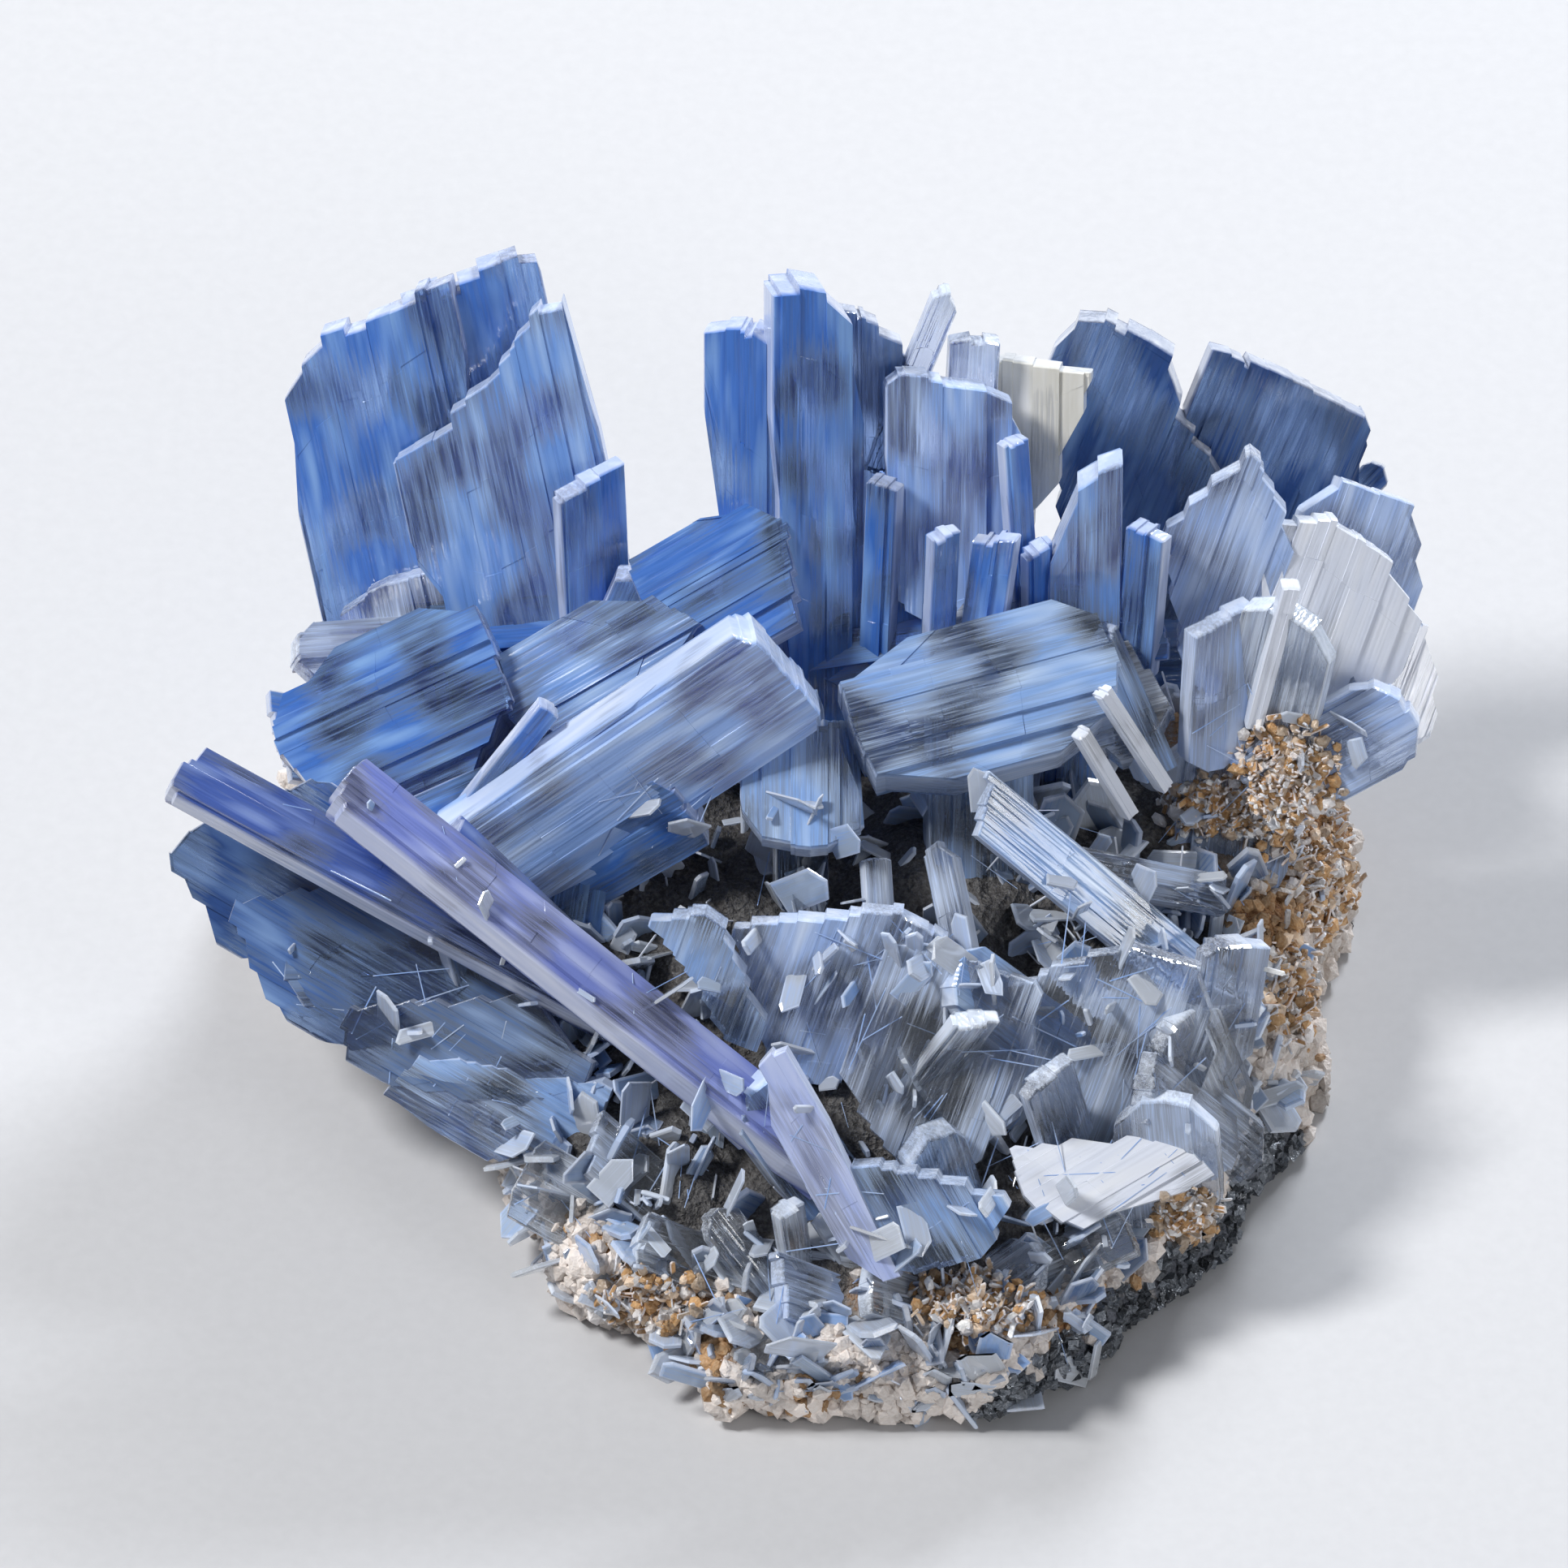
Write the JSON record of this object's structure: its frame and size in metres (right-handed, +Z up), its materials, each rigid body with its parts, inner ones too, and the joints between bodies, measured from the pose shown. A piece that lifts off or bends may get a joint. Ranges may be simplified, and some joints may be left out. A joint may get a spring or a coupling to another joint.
{
  "type": "barite crystal cluster",
  "caption": "Natural cluster of blue to clear tabular barite crystals, grown in upright and slanting sprays on a piece of matrix rock that rests on a flat cut underside",
  "frame": {"origin": "centre of the bounding box at its bottom, on the flat cut underside of the rock", "axes": "+X runs to the right across the front, the longest way; +Y runs from the front to the back; +Z is up, out of the rock"},
  "size_m": [0.0934, 0.0752, 0.0552],
  "materials": {
    "white_strap_blade": "glassy, milky",
    "long_diagonal_blade": "glassy face, pitted side",
    "deep_blue_blade": "glassy, translucent",
    "lower_clear_plates": "glassy, transparent",
    "lower_right_plates": "glassy, transparent",
    "front_crust_crystals": "glassy, transparent",
    "left_shelf_plates": "glassy, dark and clear",
    "slanting_blade": "glassy, translucent blue",
    "round_blade": "glassy, translucent",
    "clear_block": "glassy, transparent",
    "blue_block": "glassy, translucent blue",
    "blades_behind_slanting": "glassy, translucent blue",
    "clear_spear": "glassy, striated",
    "pale_fan": "glassy, milky white",
    "centre_spires": "glassy, striated blue",
    "right_plate_spray": "glassy, dark indigo with pale veils",
    "left_plate_spray": "glassy, striated blue",
    "matrix_rock": "matt, cream with orange-brown and dark granular patches"
  },
  "bodies": {
    "root": {"white_strap_blade": "white_strap_blade", "long_diagonal_blade": "long_diagonal_blade", "deep_blue_blade": "deep_blue_blade", "lower_clear_plates": "lower_clear_plates", "lower_right_plates": "lower_right_plates", "front_crust_crystals": "front_crust_crystals", "left_shelf_plates": "left_shelf_plates", "slanting_blade": "slanting_blade", "round_blade": "round_blade", "clear_block": "clear_block", "blue_block": "blue_block", "blades_behind_slanting": "blades_behind_slanting", "clear_spear": "clear_spear", "pale_fan": "pale_fan", "centre_spires": "centre_spires", "right_plate_spray": "right_plate_spray", "left_plate_spray": "left_plate_spray", "matrix_rock": "matrix_rock"}
  },
  "joints": []
}
